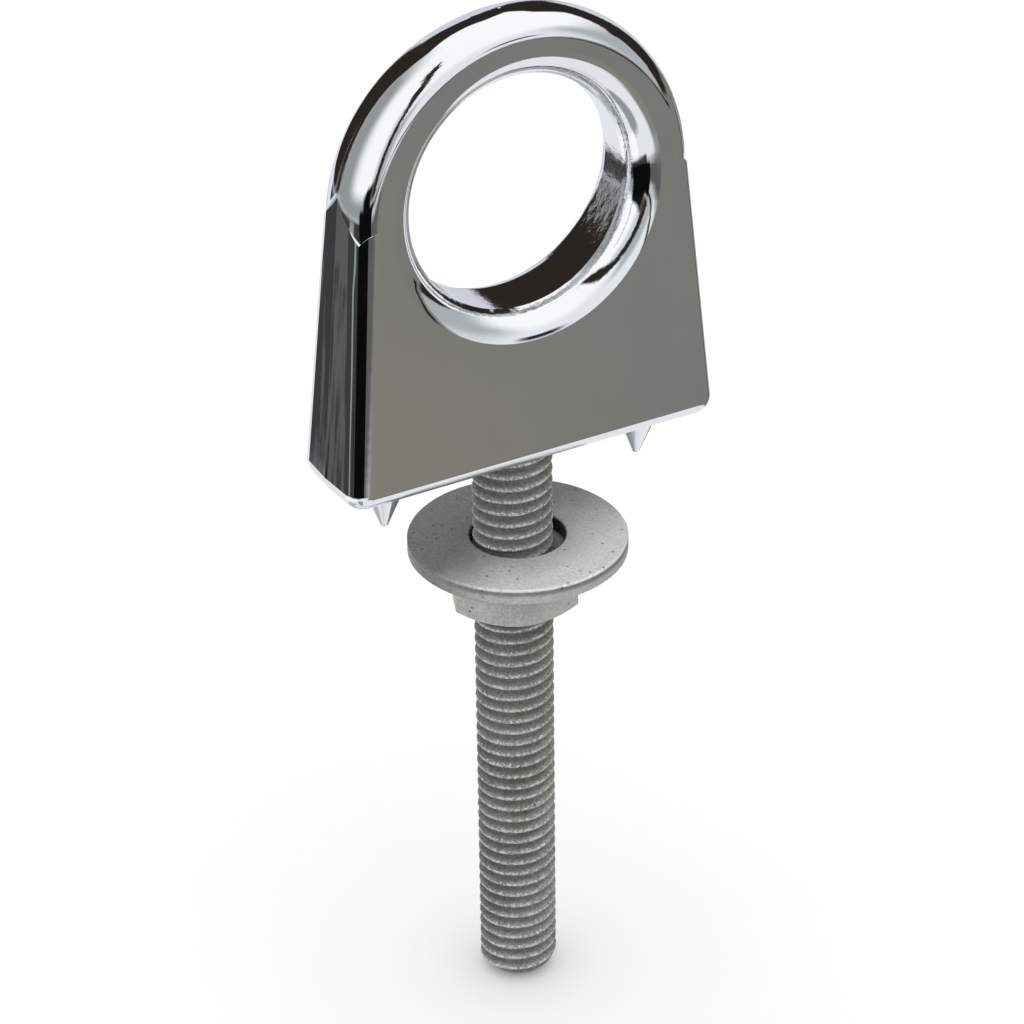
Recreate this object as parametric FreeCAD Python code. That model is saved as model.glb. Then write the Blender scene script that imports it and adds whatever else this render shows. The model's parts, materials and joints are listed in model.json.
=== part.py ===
"""Bow eye: a cast eye on a threaded stud, with a loose washer and a hex nut.

All sizes are in millimetres. The origin is the centre of the casting's
underside, on the stud's axis. +Z runs up to the crown of the eye, the axis of
the hole is Y and the width of the casting lies along X. The casting has a
parting plane at y = 0 and drafts away from it on both sides.
"""
import FreeCAD
import Part
import math
import os

from FreeCAD import Vector

# The ring round the hole
ring_diameter = 43.2
ring_height = 32.1
ring_rounding = 3.0
ring_rounding_depth = 4.2
ring_corner_radius = 2.2
shoulder_step = 0.33

# The hole of the eye
hole_diameter = 27.2
hole_rise = 0.3
land_width = 3.0
hole_rounding = 3.7
hole_corner_radius = 1.7
rim_crease = 0.03
land_crease = 0.05

# The wedge-shaped body below the ring
base_flare = 2.57
base_thickness = 13.4
face_draft = 3.2
side_draft = 3.0
side_edge_radius = 2.4
base_edge_radius = 2.1
gable_rise = 4.6
gable_slope = 50.0
gable_spread = 4.05
valley_slope = 58.0

# The two locating spikes under the base
spike_spacing = 33.4
spike_length = 6.2
spike_diameter = 5.9
spike_tip_diameter = 0.9

# The stud, screwed into the base
stud_diameter = 9.525
stud_free_length = 74.1
stud_seat_depth = 12.0
stud_end_chamfer = 1.6
stud_end_taper = 1.56
stud_inner_chamfer = 0.8
tapped_hole_clearance = 0.03
tapped_hole_spare = 1.2
drill_point_angle = 118.0

# The washer, loose on the stud
washer_diameter = 25.8
washer_play = 1.575
washer_thickness = 2.0
washer_drop = 12.3
washer_shift_x = 0.55
washer_shift_y = -0.2
washer_edge_break = 0.25

# The hex nut under the washer
nut_width = 14.29
nut_height = 6.5
nut_turn = 6.6
nut_chamfer_inset = 0.3
nut_chamfer_angle = 30.0
nut_clearance = 0.06
nut_countersink = 0.6

# Sizes that follow from those above
hole_height = ring_height + hole_rise
gable_height = ring_height + gable_rise
crown_height = ring_height + ring_diameter / 2
base_width = ring_diameter + 2 * base_flare
washer_hole_diameter = stud_diameter + washer_play
washer_underside = -washer_drop - washer_thickness


def line(start, end):
    """Straight edge from one point to the other."""
    return Part.makeLine(start, end)


def outward(solid):
    """The solid with its faces turned outward."""
    if solid.Volume < 0:
        solid.reverse()
    return solid


def arc(centre, start, end):
    """Shorter arc about the centre, from start to end."""
    radius = (start - centre).Length
    middle = (start - centre).normalize() + (end - centre).normalize()
    return Part.Arc(start, centre + middle.normalize() * radius, end).toShape()


def oval_corner(near, corner, far, tight):
    """Two arcs that round a corner: a tight one on its short side, then a wide one tangent to it."""
    short = (corner - near).Length
    long = (far - corner).Length
    wide = (short * short + long * long - 2 * long * tight) / (2 * (short - tight))
    tight_centre = near + (far - corner).normalize() * tight
    wide_centre = far - (corner - near).normalize() * wide
    joint = tight_centre + (tight_centre - wide_centre).normalize() * tight
    return [arc(tight_centre, near, joint), arc(wide_centre, joint, far)]


def revolved(edges, centre, axis):
    """Solid turned from a closed chain of edges, once round the axis through the centre."""
    face = Part.Face(Part.Wire(edges))
    return outward(face.revolve(centre, axis, 360))


def turned(outline, centre):
    """Solid of revolution about the vertical axis through the centre, from (radius, height) pairs."""
    points = [centre + Vector(radius, 0, height) for radius, height in outline]
    edges = [line(a, b) for a, b in zip(points, points[1:] + points[:1])]
    return revolved(edges, centre, Vector(0, 0, 1))


def side_slope():
    """Inward lean, per mm of height, of a narrow side, which passes one step inside the ring's rim."""
    half_base = base_width / 2
    radius = ring_diameter / 2 - shoulder_step
    reach = math.hypot(half_base, ring_height)
    return math.tan(math.acos(radius / reach) - math.atan2(ring_height, half_base))


def front_section(height):
    """Corners of the body's right front quarter at a height, counted anticlockwise."""
    slope = side_slope()
    depth = base_thickness / 2 - height * math.tan(math.radians(face_draft))
    ridge = base_width / 2 - height * slope
    corner = ridge - depth * math.tan(math.radians(side_draft)) / math.cos(math.atan(slope))
    outline = [(0, 0), (0, -depth), (corner, -depth), (ridge, 0)]
    return [Vector(x, y, height) for x, y in outline]


def flat_face(points):
    """Flat face through the points."""
    return Part.Face(Part.makePolygon(points + points[:1]))


def front_blank():
    """Right front quarter of the wedge with sharp edges, from the base to the height of the crown."""
    low = front_section(0)
    high = front_section(crown_height)
    faces = [flat_face(low[::-1]), flat_face(high)]
    for i in range(len(low)):
        faces.append(flat_face([low[i - 1], low[i], high[i], high[i - 1]]))
    shell = Part.makeShell(faces)
    shell.sewShape()
    return Part.makeSolid(shell)


def above_gable():
    """Space over the gable and its two valleys, where the body ends and the ring begins."""
    reach = base_thickness
    valley = gable_height - gable_spread * math.tan(math.radians(gable_slope))
    brow = valley + (reach - gable_spread) * math.tan(math.radians(valley_slope))
    past = crown_height + ring_diameter
    right = [(gable_spread, valley), (reach, brow), (reach, past)]
    left = [(-y, z) for y, z in right[::-1]]
    points = [Vector(-base_width, y, z) for y, z in [(0, gable_height)] + right + left]
    return flat_face(points).extrude(Vector(2 * base_width, 0, 0))


def mirrored(solid, normal):
    """The solid joined to its mirror image in the plane through the origin with the normal."""
    return solid.fuse(solid.mirror(Vector(0, 0, 0), normal)).removeSplitter()


def body():
    """Wedge-shaped body with its edges rounded: the right front quarter, mirrored twice."""
    blank = front_blank()
    rounded = blank.makeFillet(side_edge_radius, [upright_edge(blank)])
    quarter = rounded.makeFillet(base_edge_radius, bottom_edges(rounded)).cut(above_gable())
    return mirrored(mirrored(quarter, Vector(0, 1, 0)), Vector(1, 0, 0))


def upright_edge(solid):
    """Edge of the quarter between its broad face and its narrow side."""
    for edge in solid.Edges:
        box = edge.BoundBox
        if box.ZMin < 0.01 and box.ZMax > gable_height and box.XMin > 0.01 and box.YMax < -0.01:
            return edge
    raise ValueError("the wedge has no upright edge")


def bottom_edges(solid):
    """Edges round the base of the quarter, except the two on the planes of symmetry."""
    edges = []
    for edge in solid.Edges:
        box = edge.BoundBox
        if box.ZMax < 0.01 and box.XMax > 0.01 and box.YMin < -0.01:
            edges.append(edge)
    return edges


def square_axis(side):
    """Outward direction square to a broad face: side is -1 for the front and 1 for the back."""
    lean = math.radians(face_draft)
    return Vector(0, side * math.cos(lean), math.sin(lean))


def face_distance(height):
    """Distance from a point of the parting plane at a height to either broad face."""
    lean = math.radians(face_draft)
    return (base_thickness / 2 - height * math.tan(lean)) * math.cos(lean)


def half_ring(side):
    """Half of the ring's outer form: a disc square to the broad face, with its rim rounded."""
    outer = ring_diameter / 2
    crest = outer - ring_rounding
    face = face_distance(ring_height)
    apex = face - ring_rounding_depth
    past = -base_thickness
    centre = Vector(0, 0, ring_height)
    axis = square_axis(side)

    def at(r, s):
        return centre + Vector(r, 0, 0) + axis * s

    edges = [line(at(0, face), at(crest, face))]
    edges += oval_corner(at(crest, face), at(outer, face), at(outer, apex), ring_corner_radius)
    edges += [line(at(outer, apex), at(outer, past)), line(at(outer, past), at(0, past))]
    edges.append(line(at(0, past), at(0, face)))
    return revolved(edges, centre, axis).common(half_space(side))


def half_space(side):
    """Everything on one side of the parting plane."""
    reach = 4 * ring_diameter
    corner = Vector(-reach / 2, min(0, side * reach), -reach / 2)
    return Part.makeBox(reach, reach, reach, corner)


def ring():
    """The ring's outer form above the gable, both halves."""
    return half_ring(1).fuse(half_ring(-1)).common(above_gable())


def flare(side):
    """What the rounding of the hole's rim takes away on one side."""
    radius = hole_diameter / 2
    land = land_width / 2
    throat = radius - land_crease
    mouth = radius + hole_rounding
    axis = square_axis(side)
    centre = Vector(0, side * land, hole_height)
    brow = face_distance(hole_height) - land * math.cos(math.radians(face_draft)) + rim_crease
    past = base_thickness

    def at(r, s):
        return centre + Vector(r, 0, 0) + axis * s

    edges = [line(at(0, 0), at(throat, 0))]
    edges += oval_corner(at(throat, 0), at(throat, brow), at(mouth, brow), hole_corner_radius)
    edges += [line(at(mouth, brow), at(mouth, past)), line(at(mouth, past), at(0, past))]
    edges.append(line(at(0, past), at(0, 0)))
    return revolved(edges, centre, axis)


def hole_tool():
    """What the hole takes away: a cylindrical land, opened by a rounding on both sides."""
    reach = 2 * base_thickness
    start = Vector(0, -reach / 2, hole_height)
    land = Part.makeCylinder(hole_diameter / 2, reach, start, Vector(0, 1, 0))
    return land.fuse(flare(1)).fuse(flare(-1))


def spike(x):
    """Locating spike: a cone with a blunted point, sunk a little into the base."""
    radius = spike_diameter / 2
    blunt = spike_tip_diameter / 2
    outline = [
        (0, -spike_length),
        (blunt / 2, -spike_length),
        (blunt, -spike_length + blunt / 2),
        (radius, 0),
        (radius, base_edge_radius),
        (0, base_edge_radius),
    ]
    return turned(outline, Vector(x, 0, 0))


def tapped_hole():
    """Blind hole for the stud, with the cone that the drill leaves."""
    radius = stud_diameter / 2 + tapped_hole_clearance
    depth = stud_seat_depth + tapped_hole_spare
    point = radius / math.tan(math.radians(drill_point_angle / 2))
    outline = [(0, -1.0), (radius, -1.0), (radius, depth), (0, depth + point)]
    return turned(outline, Vector(0, 0, 0))


def eye_casting():
    """The casting: body, ring, hole, spikes and the blind hole for the stud."""
    casting = body().fuse(ring()).cut(hole_tool())
    for side in (-1, 1):
        casting = casting.fuse(spike(side * spike_spacing / 2))
    return casting.cut(tapped_hole()).removeSplitter()


def stud():
    """Stud at its major diameter, chamfered at both ends."""
    radius = stud_diameter / 2
    end = radius - stud_end_taper
    outline = [
        (0, -stud_free_length),
        (end, -stud_free_length),
        (radius, -stud_free_length + stud_end_chamfer),
        (radius, stud_seat_depth - stud_inner_chamfer),
        (radius - stud_inner_chamfer, stud_seat_depth),
        (0, stud_seat_depth),
    ]
    return turned(outline, Vector(0, 0, 0))


def washer():
    """Flat washer with its sharp edges broken, lying to one side on the nut."""
    inner = washer_hole_diameter / 2
    outer = washer_diameter / 2
    edge = washer_edge_break
    top = washer_thickness
    outline = [
        (inner + edge, 0),
        (outer - edge, 0),
        (outer, edge),
        (outer, top - edge),
        (outer - edge, top),
        (inner + edge, top),
        (inner, top - edge),
        (inner, edge),
    ]
    return turned(outline, Vector(washer_shift_x, washer_shift_y, washer_underside))


def hex_nut():
    """Hex nut, chamfered at both faces and countersunk at both ends of its hole."""
    corner = nut_width / 2 / math.cos(math.radians(30))
    face = nut_width / 2 - nut_chamfer_inset
    rise = (corner - face) * math.tan(math.radians(nut_chamfer_angle))
    bore = stud_diameter / 2 + nut_clearance
    mouth = bore + nut_countersink
    centre = Vector(0, 0, washer_underside - nut_height)
    points = []
    for step in range(7):
        angle = math.radians(nut_turn + 60 * step)
        points.append(centre + Vector(corner * math.cos(angle), corner * math.sin(angle), 0))
    prism = Part.Face(Part.makePolygon(points)).extrude(Vector(0, 0, nut_height))
    outline = [
        (bore, nut_countersink),
        (mouth, 0),
        (face, 0),
        (corner, rise),
        (corner + 1.0, rise),
        (corner + 1.0, nut_height - rise),
        (corner, nut_height - rise),
        (face, nut_height),
        (mouth, nut_height),
        (bore, nut_height - nut_countersink),
    ]
    return prism.common(turned(outline, centre))


def export(name, shape):
    """Check that the shape is one valid solid and write it as a STEP file."""
    solids = shape.Solids
    if len(solids) != 1 or not solids[0].isValid():
        raise ValueError("%s: %d solids, valid %s" % (name, len(solids), shape.isValid()))
    solids[0].exportStep(os.path.join("parts", name + ".step"))
    box = solids[0].optimalBoundingBox()
    size = (box.XLength, box.YLength, box.ZLength, solids[0].Volume)
    print("%-12s %8.3f x %8.3f x %8.3f  volume %10.2f" % ((name,) + size))


def main():
    """Build every piece and write it to parts/."""
    os.makedirs("parts", exist_ok=True)
    export("eye_casting", eye_casting())
    export("stud", stud())
    export("washer", washer())
    export("hex_nut", hex_nut())


main()
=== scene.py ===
"""Bow eye, dressed: a chromed casting on a galvanised stud, with its washer and nut.

Every length in the classes below is in millimetres, as in the part's source,
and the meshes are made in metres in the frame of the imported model: +Z runs up
to the crown of the eye, the axis of the hole is Y, and the stud's axis is Z.
Colours are written as display values, 0 to 255, and paint() makes them linear.
"""
import json
import logging
import math
from dataclasses import dataclass
from enum import Enum
from typing import ClassVar

import bpy
from mathutils import Matrix, Vector, noise


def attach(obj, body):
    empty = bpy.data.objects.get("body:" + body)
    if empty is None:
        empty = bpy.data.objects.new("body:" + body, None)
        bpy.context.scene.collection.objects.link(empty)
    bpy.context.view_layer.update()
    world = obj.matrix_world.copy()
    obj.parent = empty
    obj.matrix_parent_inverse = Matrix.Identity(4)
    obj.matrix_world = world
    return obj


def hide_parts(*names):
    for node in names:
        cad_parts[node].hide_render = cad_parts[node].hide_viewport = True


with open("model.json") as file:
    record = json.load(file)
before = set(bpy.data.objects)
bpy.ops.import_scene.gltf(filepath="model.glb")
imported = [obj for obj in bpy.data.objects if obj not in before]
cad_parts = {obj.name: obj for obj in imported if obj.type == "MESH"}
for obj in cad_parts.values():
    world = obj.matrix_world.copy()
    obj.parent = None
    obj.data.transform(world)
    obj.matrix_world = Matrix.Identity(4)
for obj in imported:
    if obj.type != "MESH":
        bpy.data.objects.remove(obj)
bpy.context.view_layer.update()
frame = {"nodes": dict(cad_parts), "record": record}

MILLIMETRE = 0.001
LOG = logging.getLogger("bow_eye")

Socket = bpy.types.NodeSocket
Colour = tuple[float, float, float]
Point = tuple[float, float, float]
Range = tuple[float, float]


def linear(grey: float) -> float:
    """Gives the light value of a display value.

    Args:
        grey: Display value, 0 for black and 255 for white.

    Returns:
        The same shade as a linear value.
    """
    share = grey / 255
    if share <= 0.04045:
        return share / 12.92
    return ((share + 0.055) / 1.055) ** 2.4


def paint(red: float, green: float, blue: float) -> tuple[float, float, float, float]:
    """Gives a display colour as a linear colour with full alpha."""
    return linear(red), linear(green), linear(blue), 1.0


class Wiring:
    """Places and joins the nodes of one shader tree."""

    def __init__(self, tree: bpy.types.NodeTree) -> None:
        """Starts on an empty tree.

        Args:
            tree: The tree to fill; what it holds is cleared.
        """
        self.tree = tree
        tree.nodes.clear()

    def node(self, kind: str, **settings: object) -> bpy.types.Node:
        """Places one node.

        Args:
            kind: The node's type name.
            settings: Its properties.

        Returns:
            The node.
        """
        made = self.tree.nodes.new(kind)
        for name, value in settings.items():
            setattr(made, name, value)
        return made

    def join(self, source: Socket | float | tuple, target: Socket) -> None:
        """Links a socket to another, or sets it to a plain value.

        Args:
            source: The socket to link from, or the value.
            target: The socket that takes it.
        """
        if isinstance(source, bpy.types.NodeSocket):
            self.tree.links.new(source, target)
        else:
            target.default_value = source

    def maths(self, operation: str, *values: Socket | float, clamp: bool = False) -> Socket:
        """Works out one sum.

        Args:
            operation: The Math node's operation.
            values: Its inputs, sockets or numbers.
            clamp: Whether the result is kept between 0 and 1.

        Returns:
            The result.
        """
        made = self.node("ShaderNodeMath", operation=operation, use_clamp=clamp)
        for value, target in zip(values, made.inputs):
            self.join(value, target)
        return made.outputs[0]

    def length(self, first: Socket, second: Socket) -> Socket:
        """Gives the length of two steps taken at right angles."""
        squares = [self.maths("MULTIPLY", step, step) for step in (first, second)]
        return self.maths("SQRT", self.maths("ADD", *squares))

    def parts(self, vector: Socket) -> tuple[Socket, Socket, Socket]:
        """Splits a vector.

        Args:
            vector: The vector.

        Returns:
            Its X, Y and Z.
        """
        made = self.node("ShaderNodeSeparateXYZ")
        self.join(vector, made.inputs[0])
        return made.outputs["X"], made.outputs["Y"], made.outputs["Z"]

    def mix(self, share: Socket | float, first: Socket | tuple, second: Socket | tuple) -> Socket:
        """Mixes two colours.

        Args:
            share: The share of the second colour.
            first: The first colour.
            second: The second colour.

        Returns:
            The mixed colour.
        """
        made = self.node("ShaderNodeMix", data_type="RGBA")
        # A Mix node keeps its colour sockets behind those for numbers and vectors
        for source, target in zip((share, first, second), (0, 6, 7)):
            self.join(source, made.inputs[target])
        return made.outputs[2]

    def remap(self, value: Socket, low: Socket | float, high: Socket | float,
              to_low: Socket | float = 0.0, to_high: Socket | float = 1.0,
              curve: str = "SMOOTHSTEP") -> Socket:
        """Brings a value from one range to another.

        Args:
            value: The value.
            low: Start of its range.
            high: End of its range.
            to_low: What the start becomes.
            to_high: What the end becomes.
            curve: The way between them.

        Returns:
            The value in the new range.
        """
        made = self.node("ShaderNodeMapRange", interpolation_type=curve)
        for source, target in zip((value, low, high, to_low, to_high), made.inputs):
            self.join(source, target)
        return made.outputs[0]

    def noise(self, place: Socket, scale: float | Socket, detail: float = 2.0,
              roughness: float = 0.5) -> Socket:
        """Gives soft noise at a place.

        Args:
            place: The place, in metres.
            scale: Swells to the metre.
            detail: Layers of finer swells.
            roughness: How strong each finer layer is.

        Returns:
            The noise, about 0.5.
        """
        made = self.node("ShaderNodeTexNoise")
        self.join(place, made.inputs["Vector"])
        self.join(scale, made.inputs["Scale"])
        made.inputs["Detail"].default_value = detail
        made.inputs["Roughness"].default_value = roughness
        return made.outputs[0]

    def bump(self, height: Socket, depth: float, strength: float = 1.0,
             under: Socket | None = None) -> Socket:
        """Raises a surface by a height.

        Args:
            height: The height, as a share of the depth.
            depth: The depth, in millimetres.
            strength: The share of it that shows.
            under: The normal left by the bumps under this one.

        Returns:
            The new normal.
        """
        made = self.node("ShaderNodeBump")
        made.inputs["Strength"].default_value = strength
        made.inputs["Distance"].default_value = depth * MILLIMETRE
        self.join(height, made.inputs["Height"])
        if under is not None:
            self.join(under, made.inputs["Normal"])
        return made.outputs["Normal"]

    def group(self, made_of: bpy.types.NodeTree, **values: Socket | float | tuple) -> bpy.types.Node:
        """Places a node group.

        Args:
            made_of: The group's tree.
            values: Its inputs by name, with _ for a space.

        Returns:
            The group's node.
        """
        made = self.node("ShaderNodeGroup", node_tree=made_of)
        for name, value in values.items():
            self.join(value, made.inputs[name.replace("_", " ")])
        return made


def new_group(name: str, inputs: dict[str, tuple[str, float | tuple]],
              outputs: tuple[str, ...]) -> tuple[Wiring, dict[str, Socket], bpy.types.Node]:
    """Makes an empty node group with named sockets.

    Args:
        name: The group's name.
        inputs: Each input's name, with its kind (Float or Vector) and its default.
        outputs: The names of the values that it puts out.

    Returns:
        The group's wiring, its inputs by name and its output node.
    """
    tree = bpy.data.node_groups.new(name, "ShaderNodeTree")
    for label, (kind, value) in inputs.items():
        socket = tree.interface.new_socket(label, in_out="INPUT", socket_type=f"NodeSocket{kind}")
        socket.default_value = value
    for label in outputs:
        tree.interface.new_socket(label, in_out="OUTPUT", socket_type="NodeSocketFloat")
    wiring = Wiring(tree)
    entry = wiring.node("NodeGroupInput")
    leave = wiring.node("NodeGroupOutput")
    return wiring, {label: entry.outputs[label] for label in inputs}, leave


def new_material(name: str) -> tuple[bpy.types.Material, Wiring, bpy.types.Node]:
    """Makes a material with one Principled shader in it.

    Args:
        name: The material's name.

    Returns:
        The material, its wiring and its shader.
    """
    made = bpy.data.materials.new(name)
    made.use_nodes = True
    wiring = Wiring(made.node_tree)
    shader = wiring.node("ShaderNodeBsdfPrincipled")
    leave = wiring.node("ShaderNodeOutputMaterial")
    wiring.join(shader.outputs["BSDF"], leave.inputs["Surface"])
    return made, wiring, shader


def card_group() -> bpy.types.NodeTree:
    """Makes the group that marks where one studio card stands round the object.

    A card is a turned rectangle with round corners on the map of azimuth and elevation,
    and its mask comes from the distance to its edge.

    Returns:
        A group that puts out the mask: 1 on the card, 0 off it.
    """
    wiring, given, leave = new_group(
        "studio_card",
        {
            "Azimuth": ("Float", 0.0),
            "Elevation": ("Float", 0.0),
            "Card Azimuth": ("Float", 0.0),
            "Card Elevation": ("Float", 0.0),
            "Half Width": ("Float", 10.0),
            "Half Height": ("Float", 10.0),
            "Corner": ("Float", 0.0),
            "Tilt": ("Float", 0.0),
            "Softness": ("Float", 1.0),
        },
        ("Mask",),
    )
    sums = wiring.maths
    turned = sums("WRAP", sums("SUBTRACT", given["Azimuth"], given["Card Azimuth"]), 180.0, -180.0)
    raised = sums("SUBTRACT", given["Elevation"], given["Card Elevation"])
    tilt = sums("RADIANS", given["Tilt"])
    cosine, sine = sums("COSINE", tilt), sums("SINE", tilt)
    along = sums("ADD", sums("MULTIPLY", turned, cosine), sums("MULTIPLY", raised, sine))
    across = sums("SUBTRACT", sums("MULTIPLY", raised, cosine), sums("MULTIPLY", turned, sine))
    corner, softness = given["Corner"], given["Softness"]
    beyond = [
        sums("SUBTRACT", sums("ABSOLUTE", offset), sums("SUBTRACT", half, corner))
        for offset, half in ((along, given["Half Width"]), (across, given["Half Height"]))
    ]
    outer = wiring.length(*(sums("MAXIMUM", offset, 0.0) for offset in beyond))
    inner = sums("MINIMUM", sums("MAXIMUM", *beyond), 0.0)
    distance = sums("SUBTRACT", sums("ADD", outer, inner), corner)
    mask = wiring.remap(distance, sums("MULTIPLY", softness, -1.0), softness, 1.0, 0.0)
    wiring.join(mask, leave.inputs["Mask"])
    return wiring.tree


@dataclass(frozen=True)
class ZincGrain:
    """The clouds, grains and pits of dipped zinc, which all its finishes share.

    The scales are shares of the grain's own scale, and the ranges are values of the noise.
    """

    cloud_range: Range = (0.3, 0.7)
    grain_range: Range = (0.32, 0.68)
    glint_scale: float = 1.7
    glint_range: Range = (0.58, 0.72)
    pit_scale: float = 0.42
    pit_reach: Range = (0.06, 0.3)
    pit_darkness: float = 0.8
    patch_scale: float = 0.06
    patch_range: Range = (0.35, 0.75)
    patch_chance: Range = (0.02, 0.42)
    grain_height: float = 0.6
    pit_height: float = 0.7

    def group(self) -> bpy.types.NodeTree:
        """Makes the node group.

        Returns:
            A group that puts out the clouds, the grains, the painted glints, the dark specks
            and the height.
        """
        wiring, given, leave = new_group(
            "zinc_grain",
            {
                "Place": ("Vector", (0.0, 0.0, 0.0)),
                "Cloud Scale": ("Float", 150.0),
                "Grain Scale": ("Float", 2700.0),
                "Speck Amount": ("Float", 0.5),
            },
            ("Cloud", "Grain", "Glints", "Specks", "Height"),
        )
        sums, place, scale = wiring.maths, given["Place"], given["Grain Scale"]
        cloud = wiring.noise(place, given["Cloud Scale"], detail=4.0, roughness=0.55)
        grain = wiring.noise(place, scale, detail=3.0, roughness=0.6)
        coarse = sums("MULTIPLY", scale, self.pit_scale)
        blotch = wiring.noise(place, coarse)
        glint = wiring.noise(place, sums("MULTIPLY", scale, self.glint_scale), detail=1.0)
        specks = self.specks(wiring, given, coarse)
        relief = sums("ADD", *(sums("MULTIPLY", layer, self.grain_height) for layer in (grain, blotch)))
        height = sums("SUBTRACT", relief, sums("MULTIPLY", specks, self.pit_height))
        for label, value in (
            ("Cloud", wiring.remap(cloud, *self.cloud_range)),
            ("Grain", wiring.remap(grain, *self.grain_range)),
            ("Glints", wiring.remap(glint, *self.glint_range)),
            ("Specks", specks),
            ("Height", height),
        ):
            wiring.join(value, leave.inputs[label])
        return wiring.tree

    def specks(self, wiring: Wiring, given: dict[str, Socket], scale: Socket) -> Socket:
        """Scatters the dark pits, which gather in patches.

        Args:
            wiring: The group's wiring.
            given: The group's inputs.
            scale: Pits to the metre.

        Returns:
            The mask of the pits.
        """
        sums, place = wiring.maths, given["Place"]
        pits = wiring.node("ShaderNodeTexVoronoi", feature="F1")
        wiring.join(place, pits.inputs["Vector"])
        wiring.join(scale, pits.inputs["Scale"])
        pit = wiring.remap(pits.outputs["Distance"], *self.pit_reach, self.pit_darkness, 0.0)
        draw = wiring.node("ShaderNodeSeparateColor")
        wiring.join(pits.outputs["Color"], draw.inputs["Color"])
        patch = wiring.noise(place, sums("MULTIPLY", given["Grain Scale"], self.patch_scale))
        chance = wiring.remap(patch, *self.patch_range, *self.patch_chance)
        limit = sums("SUBTRACT", 1.0, sums("MULTIPLY", given["Speck Amount"], chance))
        return sums("MULTIPLY", pit, sums("GREATER_THAN", draw.outputs[0], limit))


class StudioShade(Enum):
    """The shades that the studio's cards and flags show in polished metal."""

    WHITE = (253.0, 253.0, 255.0)
    LAVENDER = (208.0, 210.0, 222.0)
    SILVER = (212.0, 216.0, 219.0)
    PEARL = (230.0, 233.0, 238.0)
    CLOUD = (172.0, 178.0, 181.0)
    PEWTER = (146.0, 150.0, 151.0)
    STONE = (121.0, 122.0, 117.0)
    CLAY = (134.0, 129.0, 119.0)
    SLATE = (90.0, 91.0, 90.0)
    CHARCOAL = (58.0, 60.0, 60.0)
    UMBER = (43.0, 37.0, 33.0)
    RUST = (88.0, 68.0, 50.0)
    NAVY = (30.0, 42.0, 56.0)
    BLACK = (12.0, 11.0, 11.0)


@dataclass(frozen=True)
class StudioCard:
    """One card, flag or wall of the studio, as polished metal sees it from the object's place.

    All numbers are degrees: azimuth 0 is towards -Y and grows towards +X, and ragged is
    how far the noise tears the card's upright edges.
    """

    azimuth: float
    elevation: float
    width: float
    height: float
    shade: StudioShade
    softness: float = 2.0
    corner: float = 0.0
    tilt: float = 0.0
    ragged: float = 0.0


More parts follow.
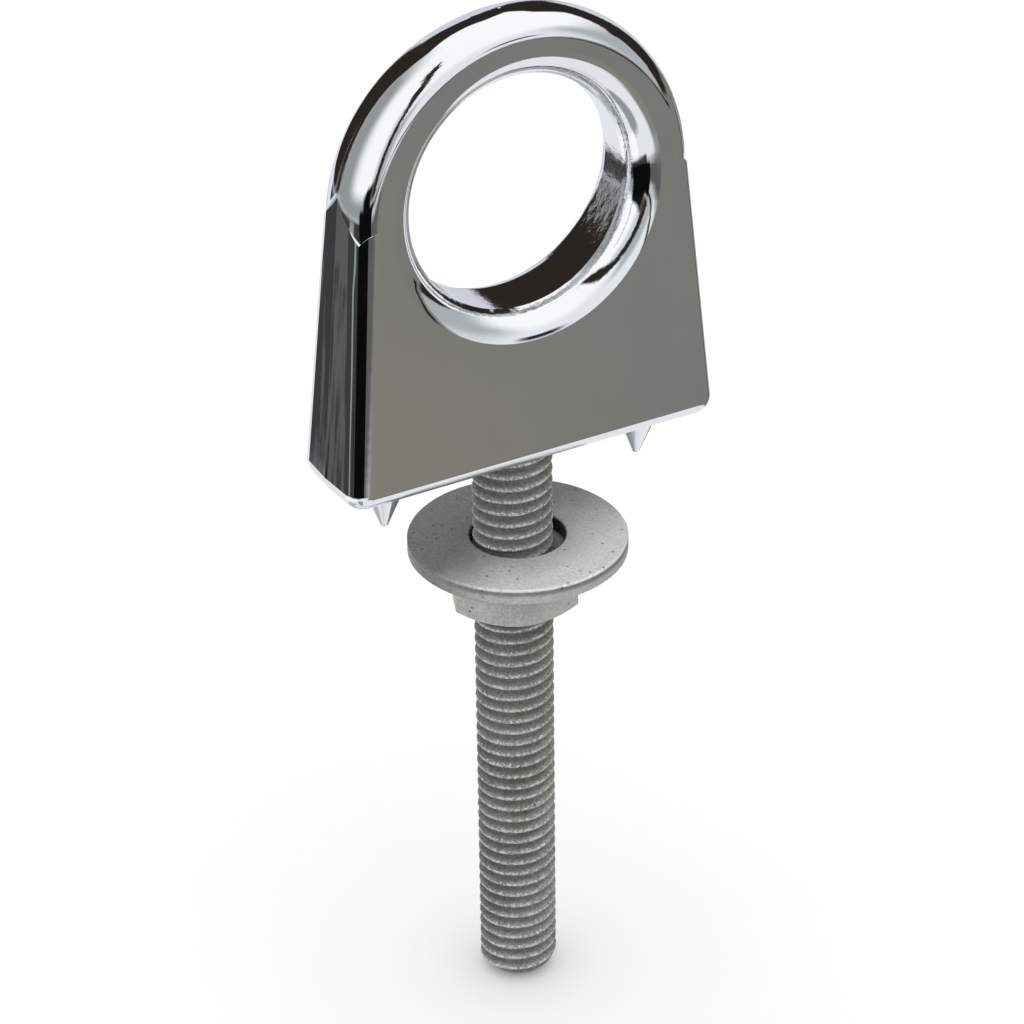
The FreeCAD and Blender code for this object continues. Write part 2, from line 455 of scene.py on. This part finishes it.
# Each card stands in front of those above it in the list
STUDIO_CARDS = (
    # Upper half: a white tent with light grey front walls
    StudioCard(22.0, 4.0, 130.0, 48.0, StudioShade.PEARL, 12.0, 14.0),
    StudioCard(70.0, 6.0, 62.0, 46.0, StudioShade.CLOUD, 12.0, 12.0),
    StudioCard(-16.0, 2.0, 26.0, 30.0, StudioShade.CLOUD, 6.0, 6.0),
    # The left softbox, and the frame beside it
    StudioCard(-122.0, 20.0, 56.0, 96.0, StudioShade.SILVER, 12.0, 14.0),
    StudioCard(-124.0, 18.0, 40.0, 76.0, StudioShade.PEWTER, 12.0, 14.0),
    StudioCard(-36.0, 16.0, 18.0, 40.0, StudioShade.LAVENDER, 6.0, 4.0),
    StudioCard(-60.0, 16.0, 2.0, 34.0, StudioShade.CLOUD, 1.0, 1.0, -16.0),
    StudioCard(-26.0, 15.0, 13.0, 44.0, StudioShade.UMBER, 1.0, 1.0, ragged=16.0),
    StudioCard(-36.0, 49.0, 40.0, 17.0, StudioShade.UMBER, 1.2, 3.0, -54.5, ragged=20.0),
    # Dark walls behind the object, with two pale openings
    StudioCard(180.0, 24.0, 80.0, 78.0, StudioShade.UMBER, 1.5, 12.0),
    StudioCard(140.0, 18.0, 56.0, 66.0, StudioShade.UMBER, 1.5, 8.0),
    StudioCard(95.7, -6.1, 124.0, 39.0, StudioShade.UMBER, 2.0, 3.0, 42.0),
    StudioCard(135.0, -4.0, 20.0, 36.0, StudioShade.LAVENDER, 1.5, 7.0, ragged=10.0),
    StudioCard(160.0, 3.0, 20.0, 48.0, StudioShade.LAVENDER, 1.5, 9.0, -20.0, ragged=8.0),
    # The strip under the softbox
    StudioCard(-104.0, -10.0, 76.0, 14.0, StudioShade.PEWTER, 5.0, 4.0),
    StudioCard(-52.0, -8.0, 36.0, 20.0, StudioShade.BLACK, 2.0, 6.0),
    StudioCard(-34.0, -2.0, 11.0, 8.0, StudioShade.RUST, 3.0, 3.0),
    # Lower half: the pale floor of the tent, and what stands on it to the left
    StudioCard(0.0, -55.0, 360.0, 84.0, StudioShade.PEARL, 1.5),
    StudioCard(-96.0, -20.0, 132.0, 13.0, StudioShade.CHARCOAL, 1.5, 3.0),
    StudioCard(-152.0, -22.0, 3.0, 14.0, StudioShade.SLATE, 1.2),
    StudioCard(-148.0, -22.0, 2.0, 14.0, StudioShade.BLACK, 0.6),
    StudioCard(-144.0, -22.0, 3.0, 14.0, StudioShade.SLATE, 1.2),
    StudioCard(-94.0, -19.0, 10.0, 9.0, StudioShade.PEWTER, 2.0, 2.0),
    StudioCard(-10.0, -18.0, 60.0, 9.0, StudioShade.SLATE, 2.5, 3.0),
    StudioCard(-48.0, -15.5, 54.0, 15.0, StudioShade.BLACK, 1.2, 3.0),
    StudioCard(-44.0, -58.0, 34.0, 34.0, StudioShade.PEWTER, 4.0, 10.0),
    StudioCard(-100.0, -36.0, 88.0, 18.0, StudioShade.WHITE, 2.5, 8.0),
    StudioCard(-125.0, -62.0, 90.0, 12.0, StudioShade.CLOUD, 4.0, 6.0),
    # The grey card that the broad face shows, and what stands on the floor to the right
    StudioCard(72.0, -26.0, 124.0, 38.0, StudioShade.STONE, 1.4, 19.0),
    StudioCard(14.0, -30.0, 28.0, 18.0, StudioShade.CLAY, 5.0, 7.0),
    StudioCard(150.0, -22.0, 64.0, 8.0, StudioShade.LAVENDER, 2.0, 3.0),
    StudioCard(132.0, -23.0, 44.0, 13.0, StudioShade.PEWTER, 2.5, 3.0),
    StudioCard(106.0, -21.0, 8.0, 15.0, StudioShade.CHARCOAL, 1.5, 2.0),
    StudioCard(162.0, -54.0, 44.0, 18.0, StudioShade.CLOUD, 4.0, 7.0),
    StudioCard(25.0, 2.0, 8.0, 7.0, StudioShade.NAVY, 2.0, 3.0),
    StudioCard(22.0, -10.0, 98.0, 1.6, StudioShade.BLACK, 0.6, 0.6),
    StudioCard(0.0, -86.0, 360.0, 22.0, StudioShade.SILVER, 6.0),
)


@dataclass(frozen=True)
class ChromeFinish:
    """Bright chrome over a polished casting, with a rougher hole and drawn narrow sides."""

    tint: Colour = (251.0, 252.0, 253.0)
    cloud_tint: float = 0.985
    cloud_scale: float = 120.0
    cloud_range: Range = (0.35, 0.7)
    roughness: float = 0.035
    haze: float = 0.05
    haze_scale: float = 260.0
    haze_range: Range = (0.5, 0.75)
    ripple_strength: float = 0.02
    ripple_depth: float = 0.4
    ripple_scale: float = 320.0
    wall_depth: float = 0.05
    wall_scale: float = 900.0
    wall_fade: float = 0.6
    hole_radius: float = 13.9
    streak_depth: float = 0.11
    streak_scale: float = 360.0
    streak_stretch: float = 0.09
    side_facing: Range = (0.8, 0.97)
    side_top: float = 30.0
    side_fade: float = 4.0

    def material(self, name: str, hole_height: float) -> bpy.types.Material:
        """Makes the chrome.

        Args:
            name: The material's name.
            hole_height: Height of the hole's axis, in metres.

        Returns:
            The material.
        """
        made, wiring, metal = new_material(name)
        place = wiring.node("ShaderNodeTexCoord").outputs["Object"]
        metal.inputs["Metallic"].default_value = 1.0
        cloud = wiring.remap(wiring.noise(place, self.cloud_scale, detail=4.0), *self.cloud_range)
        dimmed = paint(*(value * self.cloud_tint for value in self.tint))
        wiring.join(wiring.mix(cloud, paint(*self.tint), dimmed), metal.inputs["Base Color"])
        haze = wiring.remap(wiring.noise(place, self.haze_scale, detail=5.0), *self.haze_range,
                            self.roughness, self.roughness + self.haze)
        wiring.join(haze, metal.inputs["Roughness"])
        ripple = wiring.noise(place, self.ripple_scale)
        normal = wiring.bump(ripple, self.ripple_depth, self.ripple_strength)
        normal = wiring.bump(self.wall(wiring, place, hole_height), self.wall_depth, under=normal)
        normal = wiring.bump(self.streaks(wiring, place), self.streak_depth, under=normal)
        wiring.join(normal, metal.inputs["Normal"])
        return made

    def wall(self, wiring: Wiring, place: Socket, hole_height: float) -> Socket:
        """Gives the height of the rough cast skin on the wall of the hole, and none elsewhere.

        Args:
            wiring: The material's wiring.
            place: The place on the casting.
            hole_height: Height of the hole's axis, in metres.

        Returns:
            The height.
        """
        across, _, up = wiring.parts(place)
        radius = wiring.length(across, wiring.maths("SUBTRACT", up, hole_height))
        near = self.hole_radius * MILLIMETRE
        inside = wiring.remap(radius, near, near + self.wall_fade * MILLIMETRE, 1.0, 0.0)
        skin = wiring.noise(place, self.wall_scale, detail=4.0, roughness=0.6)
        return wiring.maths("MULTIPLY", skin, inside)

    def streaks(self, wiring: Wiring, place: Socket) -> Socket:
        """Gives the height of the long polishing waves on the narrow sides, and none elsewhere.

        Args:
            wiring: The material's wiring.
            place: The place on the casting.

        Returns:
            The height.
        """
        facing, _, _ = wiring.parts(wiring.node("ShaderNodeTexCoord").outputs["Normal"])
        side = wiring.remap(wiring.maths("ABSOLUTE", facing), *self.side_facing)
        _, along, up = wiring.parts(place)
        top = self.side_top * MILLIMETRE
        low = wiring.remap(up, top - self.side_fade * MILLIMETRE, top, 1.0, 0.0)
        drawn = wiring.node("ShaderNodeCombineXYZ")
        wiring.join(along, drawn.inputs["Y"])
        wiring.join(wiring.maths("MULTIPLY", up, self.streak_stretch), drawn.inputs["Z"])
        waves = wiring.noise(drawn.outputs[0], self.streak_scale, detail=1.5)
        return wiring.maths("MULTIPLY", waves, wiring.maths("MULTIPLY", side, low))


@dataclass(frozen=True)
class ZincFinish:
    """Hot-dip galvanised steel: dull, cloudy and grainy."""

    dark: Colour = (134.0, 137.0, 131.0)
    light: Colour = (170.0, 173.0, 168.0)
    glint: Colour = (226.0, 228.0, 224.0)
    # Colour of the dark pits, also painted as shade in the thread's roots
    speck_and_shade: Colour = (62.0, 60.0, 55.0)
    metallic: float = 0.25
    roughness: float = 0.45
    grain_roughness: Range = (0.12, -0.08)
    cloud_scale: float = 110.0
    grain_scale: float = 2700.0
    grain_depth: float = 0.07
    grain_strength: float = 0.8
    grain_contrast: float = 0.3
    glint_amount: float = 0.6
    speck_amount: float = 0.6

    def material(self, name: str, grain: bpy.types.NodeTree) -> bpy.types.Material:
        """Makes the zinc skin.

        Args:
            name: The material's name.
            grain: The group of ZincGrain.

        Returns:
            The material.
        """
        made, wiring, metal = new_material(name)
        place = wiring.node("ShaderNodeTexCoord").outputs["Object"]
        metal.inputs["Metallic"].default_value = self.metallic
        skin = wiring.group(grain, Place=place, Cloud_Scale=self.cloud_scale,
                            Grain_Scale=self.grain_scale, Speck_Amount=self.speck_amount).outputs
        colour = self.body(wiring, place, skin["Cloud"])
        hollows = wiring.maths("SUBTRACT", 1.0, skin["Grain"])
        shade = wiring.maths("MULTIPLY", hollows, self.grain_contrast)
        colour = wiring.mix(shade, colour, paint(*self.speck_and_shade))
        # Painted highlight: bright glints mixed into the zinc's colour
        glints = wiring.maths("MULTIPLY", skin["Glints"], self.glint_amount)
        colour, glints = self.painted_light_and_shade(wiring, place, skin["Grain"], colour, glints)
        colour = wiring.mix(glints, colour, paint(*self.glint))
        colour = wiring.mix(skin["Specks"], colour, paint(*self.speck_and_shade))
        wiring.join(self.painted_shadow(wiring, place, colour), metal.inputs["Base Color"])
        rough, smooth = (self.roughness + change for change in self.grain_roughness)
        wiring.join(wiring.remap(skin["Grain"], 0.0, 1.0, rough, smooth), metal.inputs["Roughness"])
        normal = wiring.bump(skin["Height"], self.grain_depth, self.grain_strength)
        wiring.join(normal, metal.inputs["Normal"])
        return made

    def body(self, wiring: Wiring, place: Socket, cloud: Socket) -> Socket:
        """Gives the zinc's own colour: its two shades in clouds."""
        return wiring.mix(cloud, paint(*self.dark), paint(*self.light))

    def painted_light_and_shade(self, wiring: Wiring, place: Socket, grain: Socket, colour: Socket,
             glints: Socket) -> tuple[Socket, Socket]:
        """Gives the colour and the painted glints with painted highlight and shade added: plain zinc gets
        none.
        """
        return colour, glints

    def painted_shadow(self, wiring: Wiring, place: Socket, colour: Socket) -> Socket:
        """Gives the colour with its painted shadow: plain zinc has none."""
        return colour


@dataclass(frozen=True)
class WasherZinc(ZincFinish):
    """The washer's zinc, with painted light: lighter to one side, painted shade under its top edge,
    painted shadow in its hole.
    """

    painted_light_lean: tuple[float, float] = (0.030, -0.090)
    painted_light_start: float = 0.02
    painted_light_cloud: float = 0.3
    top: float = -12.3
    # Painted highlight and shade on the outer side: its top edge stays bright and the band under it
    # darkens
    edge_line: Range = (0.12, 0.34)
    edge_shade: Range = (0.5, 1.1)
    low_shade: float = 0.45
    hole_centre: tuple[float, float] = (0.55, -0.2)
    hole_radius: float = 5.55
    # Painted shadow on the wall of the hole
    bore_painted_shadow: Colour = (30.0, 30.0, 28.0)
    bore_shadow_fade: Range = (0.05, 0.2)

    def body(self, wiring: Wiring, place: Socket, cloud: Socket) -> Socket:
        """Gives the zinc's two shades, with painted light that makes it lighter towards +X and -Y.

        Args:
            wiring: The material's wiring.
            place: The place on the washer.
            cloud: The clouds of the skin.

        Returns:
            The colour.
        """
        # Painted light: the washer lighter towards +X and -Y, as light falls there
        painted_light_lean = wiring.node("ShaderNodeVectorMath", operation="DOT_PRODUCT")
        wiring.join(place, painted_light_lean.inputs[0])
        wiring.join(tuple(value / MILLIMETRE for value in (*self.painted_light_lean, 0.0)), painted_light_lean.inputs[1])
        even = wiring.maths("ADD", wiring.maths("MULTIPLY", cloud, self.painted_light_cloud), self.painted_light_start)
        share = wiring.maths("ADD", even, painted_light_lean.outputs["Value"], clamp=True)
        dark = paint(*self.dark)
        return wiring.mix(self.rim_painted_shade(wiring, place), wiring.mix(share, dark, paint(*self.light)), dark)

    def rim_painted_shade(self, wiring: Wiring, place: Socket) -> Socket:
        """Gives the share of painted shade on the washer's outer side: none on its top edge, most just
        under it.

        Args:
            wiring: The material's wiring.
            place: The place on the washer.

        Returns:
            The share of the dark zinc, painted as shade.
        """
        _, _, up = wiring.parts(place)
        under = wiring.maths("SUBTRACT", self.top * MILLIMETRE, up)
        begins = wiring.remap(under, *(depth * MILLIMETRE for depth in self.edge_line))
        ends = wiring.remap(under, *(depth * MILLIMETRE for depth in self.edge_shade), 1.0,
                            self.low_shade)
        return wiring.maths("MULTIPLY", begins, ends)

    def painted_shadow(self, wiring: Wiring, place: Socket, colour: Socket) -> Socket:
        """Paints shadow on the wall of the hole, nearly black.

        Args:
            wiring: The material's wiring.
            place: The place on the washer.
            colour: The colour of the skin.

        Returns:
            The colour with the painted shadow.
        """
        steps = (
            wiring.maths("SUBTRACT", offset, centre * MILLIMETRE)
            for offset, centre in zip(wiring.parts(place), self.hole_centre)
        )
        near, far = ((self.hole_radius + fade) * MILLIMETRE for fade in self.bore_shadow_fade)
        # Painted shadow: the wall of the hole darkened to the shadow colour
        wall = wiring.remap(wiring.length(*steps), near, far, 1.0, 0.0)
        return wiring.mix(wall, colour, paint(*self.bore_painted_shadow))


@dataclass(frozen=True)
class ThreadZinc(ZincFinish):
    """The stud's zinc: painted highlights in broken lines on the thread's crests and painted shade at its
    roots.
    """

    crest_radius: float = 4.66
    crest_depth: float = 0.8
    glint_rise: Range = (0.6, 1.0)
    low_glint: float = 0.1
    # Painted highlight: a bright broken line along each crest
    line_rise: Range = (0.95, 1.0)
    line_shine: float = 0.55
    line_gap: float = 0.15
    line_grain: Range = (0.2, 0.8)
    # Painted shade in the thread's roots
    root_painted_shade: float = 0.5

    def painted_light_and_shade(self, wiring: Wiring, place: Socket, grain: Socket, colour: Socket,
             glints: Socket) -> tuple[Socket, Socket]:
        """Paints highlights along the crests and paints shade in the roots.

        Args:
            wiring: The material's wiring.
            place: The place on the stud.
            grain: The grains of the skin.
            colour: The colour of the skin.
            glints: The share of the painted glints.

        Returns:
            The new colour and the new share.
        """
        crest = self.crest(wiring, place)
        # Painted glints, kept mostly to the crests
        lifted = wiring.remap(crest, *self.glint_rise, self.low_glint, 1.0)
        glints = wiring.maths("MULTIPLY", glints, lifted)
        # Painted highlight line on the crests, broken by the grain
        crest_line_highlight = wiring.remap(grain, *self.line_grain, self.line_gap * self.line_shine, self.line_shine)
        glints = wiring.maths("MAXIMUM", glints, wiring.remap(crest, *self.line_rise, 0.0, crest_line_highlight))
        # Painted shade: the roots darkened towards the speck colour
        root_shade = wiring.maths("MULTIPLY", wiring.maths("SUBTRACT", 1.0, crest), self.root_painted_shade)
        return wiring.mix(root_shade, colour, paint(*self.speck_and_shade)), glints

    def crest(self, wiring: Wiring, place: Socket) -> Socket:
        """Gives the height on the thread's flank.

        Args:
            wiring: The material's wiring.
            place: The place on the stud.

        Returns:
            The height: 0 at the root and 1 at the crest.
        """
        across, along, _ = wiring.parts(place)
        high = self.crest_radius * MILLIMETRE
        low = high - self.crest_depth * MILLIMETRE
        return wiring.remap(wiring.length(across, along), low, high, curve="LINEAR")


def mesh_piece(name: str, points: list[Point], faces: list[tuple[int, ...]],
               material: bpy.types.Material, smooth: bool = True) -> bpy.types.Object:
    """Makes one piece from its points and faces.

    Args:
        name: The piece's name.
        points: Its points, in millimetres.
        faces: Its faces, by the numbers of their points.
        material: Its finish.
        smooth: Whether its faces shade smoothly.

    Returns:
        The piece, linked to the scene.
    """
    mesh = bpy.data.meshes.new(name)
    mesh.from_pydata([tuple(value * MILLIMETRE for value in point) for point in points], [], faces)
    mesh.validate()
    mesh.materials.append(material)
    for face in mesh.polygons:
        face.use_smooth = smooth
    made = bpy.data.objects.new(name, mesh)
    bpy.context.scene.collection.objects.link(made)
    return made


def coat(name: str, material: bpy.types.Material) -> bpy.types.Object:
    """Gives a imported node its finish.

    Args:
        name: The node's name.
        material: The finish.

    Returns:
        The node's object.
    """
    node = frame["nodes"][name]
    for slot in node.material_slots:
        slot.material = material
    return node


@dataclass
class EyeCasting:
    """The chromed casting: ring, wedge-shaped body and the two spikes, in one piece."""

    finish: ChromeFinish = ChromeFinish()

    def dress(self) -> bpy.types.Object:
        """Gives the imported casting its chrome, with a rougher skin in the hole of the eye."""
        eye = next(mount for mount in frame["record"]["mounts"] if mount["name"] == "eye")
        return coat("eye_casting", self.finish.material("chrome", eye["pos_m"][2]))


@dataclass
class ThreadedStud:
    """The stud with its rolled thread, dipped in zinc."""

    diameter: float = 9.4
    pitch: float = 1.5875
    depth: float = 0.82
    bottom: float = -74.1
    top: float = 12.0
    end_chamfer: float = 1.6
    end_taper: float = 1.56
    steps: int = 84
    lead_in: float = 1.5
    draw_in: float = 1.3
    tip_radius: float = 0.02
    swell: float = 0.03
    swells_around: float = 3.0
    swells_along: float = 0.9
    finish: ThreadZinc = ThreadZinc(dark=(150.0, 151.0, 143.0), light=(178.0, 179.0, 172.0),
                                    glint=(250.0, 252.0, 248.0), glint_amount=1.0,
                                    speck_amount=0.15, grain_contrast=0.45)

    # The rolled profile: shares of the pitch, and heights from root (0) to crest (1)
    PROFILE: ClassVar[tuple[tuple[float, float], ...]] = (
        (0.00, 0.97), (0.07, 1.0), (0.14, 0.97), (0.22, 0.80), (0.32, 0.48),
        (0.42, 0.14), (0.50, 0.0), (0.58, 0.0), (0.66, 0.14), (0.76, 0.48),
        (0.86, 0.78), (0.94, 0.92),
    )

    def limit(self, height: float) -> float:
        """Gives the largest radius that the end's chamfer leaves.

        Args:
            height: The height on the stud.

        Returns:
            The radius.
        """
        above = height - self.bottom
        if above >= self.end_chamfer:
            return self.diameter / 2
        return self.diameter / 2 - self.end_taper * (1 - max(above, 0.0) / self.end_chamfer)

    def point(self, turn: float, share: float, rise: float) -> Point:
        """Gives one point of the thread.

        Args:
            turn: Turns of the helix up to the point.
            share: Where in the pitch it lies.
            rise: Its height there, from root to crest.

        Returns:
            The point, drawn in towards the axis where the helix runs past an end of the stud.
        """
        outer = self.diameter / 2
        cosine, sine = math.cos(2 * math.pi * turn), math.sin(2 * math.pi * turn)
        height = self.bottom + (turn - self.lead_in + share) * self.pitch
        bulge = noise.noise(Vector((cosine * self.swells_around, sine * self.swells_around,
                                    height * self.swells_along)))
        radius = outer - self.depth * (1 - rise) + self.swell * bulge
        radius = min(radius, outer, self.limit(height))
        for end, edge, past in ((self.bottom, self.limit(self.bottom), self.bottom - height),
                                (self.top, outer - self.depth, height - self.top)):
            if past > 0:
                radius = max(edge * (1 - past / (self.draw_in * self.pitch)), self.tip_radius)
                height = end
        return radius * cosine, radius * sine, height

    def shape(self, zinc: bpy.types.Material) -> bpy.types.Object:
        """Makes the helical mesh, one row of the profile for each step of the turn.

        Args:
            zinc: The stud's finish.

        Returns:
            The stud, drawn in to its axis at both ends.
        """
        rows = len(self.PROFILE)
        turns = math.ceil((self.top - self.bottom) / self.pitch) + 2
        count = turns * self.steps + 1
        points = [self.point(step / self.steps, share, rise)
                  for step in range(count) for share, rise in self.PROFILE]
        faces: list[tuple[int, ...]] = []
        for step in range(count - 1):
            for row in range(rows):
                here = step * rows + row
                ahead = here + rows
                if row + 1 < rows:
                    faces.append((here, ahead, ahead + 1, here + 1))
                elif step + self.steps + 1 < count:
                    above = (step + self.steps) * rows
                    faces.append((here, ahead, above + rows, above))
        LOG.info("stud mesh: %d points in %d turns", len(points), turns)
        return mesh_piece("threaded_stud", points, faces, zinc)

    def dress(self, grain: bpy.types.NodeTree) -> bpy.types.Object:
        """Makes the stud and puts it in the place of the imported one.

        Args:
            grain: The group of ZincGrain.

        Returns:
            The stud.
        """
        made = self.shape(self.finish.material("galvanised_stud", grain))
        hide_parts("stud")
        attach(made, "eye")
        return made


@dataclass
class PlainWasher:
    """The loose washer under the casting."""

    finish: WasherZinc = WasherZinc(dark=(144.0, 146.0, 141.0), light=(250.0, 252.0, 250.0),
                                    cloud_scale=90.0, roughness=0.4, grain_contrast=0.24,
                                    glint_amount=0.2, speck_amount=1.5)

    def dress(self, grain: bpy.types.NodeTree) -> bpy.types.Object:
        """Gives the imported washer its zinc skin."""
        return coat("washer", self.finish.material("galvanised_washer", grain))


@dataclass
class HexNut:
    """The hex nut under the washer."""

    finish: ZincFinish = ZincFinish(dark=(194.0, 196.0, 189.0), light=(226.0, 228.0, 222.0),
                                    grain_contrast=0.26, speck_amount=0.3)

    def dress(self, grain: bpy.types.NodeTree) -> bpy.types.Object:
        """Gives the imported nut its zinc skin."""
        return coat("hex_nut", self.finish.material("galvanised_nut", grain))


@dataclass
class Studio:
    """The camera, the floor and the surroundings."""

    camera_azimuth: float = -29.191
    camera_elevation: float = 30.57
    camera_roll: float = -0.795
    shift_right: float = -0.062
    shift_up: float = 8.115
    distance: float = 424.386
    lens: float = 130.078
    sensor: float = 36.0
    clip: Range = (0.01, 10.0)
    floor_drop: float = 74.15
    floor_size: float = 4000.0
    ragged_scale: float = 45.0
    light_rise: Range = (-0.35, 0.45)
    light_below: float = 0.6
    light_above: float = 1.05

    def camera(self) -> bpy.types.Object:
        """Places the camera at the photograph's viewing angle.

        Returns:
            The camera.
        """
        turn, rise, roll = (
            math.radians(value)
            for value in (self.camera_azimuth, self.camera_elevation, self.camera_roll)
        )
        back = Vector((math.sin(turn) * math.cos(rise), -math.cos(turn) * math.cos(rise), math.sin(rise)))
        level = Vector((math.cos(turn), math.sin(turn), 0.0))
        upright = back.cross(level)
        right = level * math.cos(roll) + upright * math.sin(roll)
        up = upright * math.cos(roll) - level * math.sin(roll)
        place = back * self.distance - right * self.shift_right - up * self.shift_up
        data = bpy.data.cameras.new("camera")
        data.sensor_width = self.sensor
        data.lens = self.lens
        data.clip_start, data.clip_end = self.clip
        made = bpy.data.objects.new("camera", data)
        bpy.context.scene.collection.objects.link(made)
        turned = Matrix((right, up, back)).transposed().to_4x4()
        made.matrix_world = Matrix.Translation(place * MILLIMETRE) @ turned
        bpy.context.scene.camera = made
        return made

    def floor(self) -> bpy.types.Object:
        """Lays the pale floor under the end of the stud.

        Returns:
            The floor, which takes the shadow and lights nothing.
        """
        material, _, paper = new_material("floor")
        paper.inputs["Base Color"].default_value = (1.0, 1.0, 1.0, 1.0)
        paper.inputs["Roughness"].default_value = 1.0
        paper.inputs["Specular IOR Level"].default_value = 0.0
        half, drop = self.floor_size / 2, -self.floor_drop
        corners = [(-half, -half, drop), (half, -half, drop), (half, half, drop), (-half, half, drop)]
        made = mesh_piece("floor", corners, [(0, 1, 2, 3)], material, smooth=False)
        made.visible_glossy = False
        made.visible_diffuse = False
        return made

    def cards(self, wiring: Wiring, generated: Socket) -> Socket:
        """Stands the cards round the object.

        Args:
            wiring: The world's wiring.
            generated: The direction looked in.

        Returns:
            The colour in that direction.
        """
        across, along, up = wiring.parts(generated)
        towards = wiring.maths("MULTIPLY", along, -1.0)
        azimuth = wiring.maths("DEGREES", wiring.maths("ARCTAN2", across, towards))
        elevation = wiring.maths("DEGREES", wiring.maths("ARCSINE", up))
        torn = wiring.maths("SUBTRACT", wiring.noise(generated, self.ragged_scale, detail=3.0), 0.5)
        card = card_group()
        colour: Socket | tuple = paint(*StudioShade.WHITE.value)
        for piece in STUDIO_CARDS:
            seen = azimuth
            if piece.ragged:
                seen = wiring.maths("ADD", azimuth, wiring.maths("MULTIPLY", torn, piece.ragged))
            mask = wiring.group(
                card, Azimuth=seen, Elevation=elevation, Card_Azimuth=piece.azimuth,
                Card_Elevation=piece.elevation, Half_Width=piece.width / 2,
                Half_Height=piece.height / 2, Corner=piece.corner, Tilt=piece.tilt,
                Softness=piece.softness,
            ).outputs["Mask"]
            colour = wiring.mix(mask, colour, paint(*piece.shade.value))
        return colour

    def surroundings(self) -> bpy.types.World:
        """Builds the white tent.

        The camera sees plain white, polished metal sees the cards, and the light on dull
        skins is a little stronger from above than from below.

        Returns:
            The world.
        """
        world = bpy.data.worlds.new("studio")
        world.use_nodes = True
        wiring = Wiring(world.node_tree)
        generated = wiring.node("ShaderNodeTexCoord").outputs["Generated"]
        _, _, up = wiring.parts(generated)
        white, tent, cards = (wiring.node("ShaderNodeBackground") for _ in range(3))
        for background in (white, tent):
            background.inputs["Color"].default_value = (1.0, 1.0, 1.0, 1.0)
        level = wiring.remap(up, *self.light_rise, self.light_below, self.light_above)
        wiring.join(level, tent.inputs["Strength"])
        wiring.join(self.cards(wiring, generated), cards.inputs["Color"])
        rays = wiring.node("ShaderNodeLightPath").outputs
        mirrored = wiring.maths("MAXIMUM", rays["Is Glossy Ray"], rays["Is Transmission Ray"])
        shown = white.outputs[0]
        for share, light in ((rays["Is Diffuse Ray"], tent), (mirrored, cards)):
            choice = wiring.node("ShaderNodeMixShader")
            wiring.join(share, choice.inputs[0])
            wiring.join(shown, choice.inputs[1])
            wiring.join(light.outputs[0], choice.inputs[2])
            shown = choice.outputs[0]
        leave = wiring.node("ShaderNodeOutputWorld")
        wiring.join(shown, leave.inputs["Surface"])
        bpy.context.scene.world = world
        return world


def main() -> None:
    """Builds the studio and every piece in order, and reports each."""
    logging.basicConfig(level=logging.INFO, format="%(name)s: %(message)s")
    bpy.context.scene.view_settings.view_transform = "Standard"
    studio = Studio()
    studio.camera()
    studio.floor()
    studio.surroundings()
    grain = ZincGrain().group()
    for made in (
        EyeCasting().dress(),
        ThreadedStud().dress(grain),
        PlainWasher().dress(grain),
        HexNut().dress(grain),
    ):
        LOG.info("%s: %d points, %d faces", made.name, len(made.data.vertices), len(made.data.polygons))


if __name__ == "__main__":
    main()
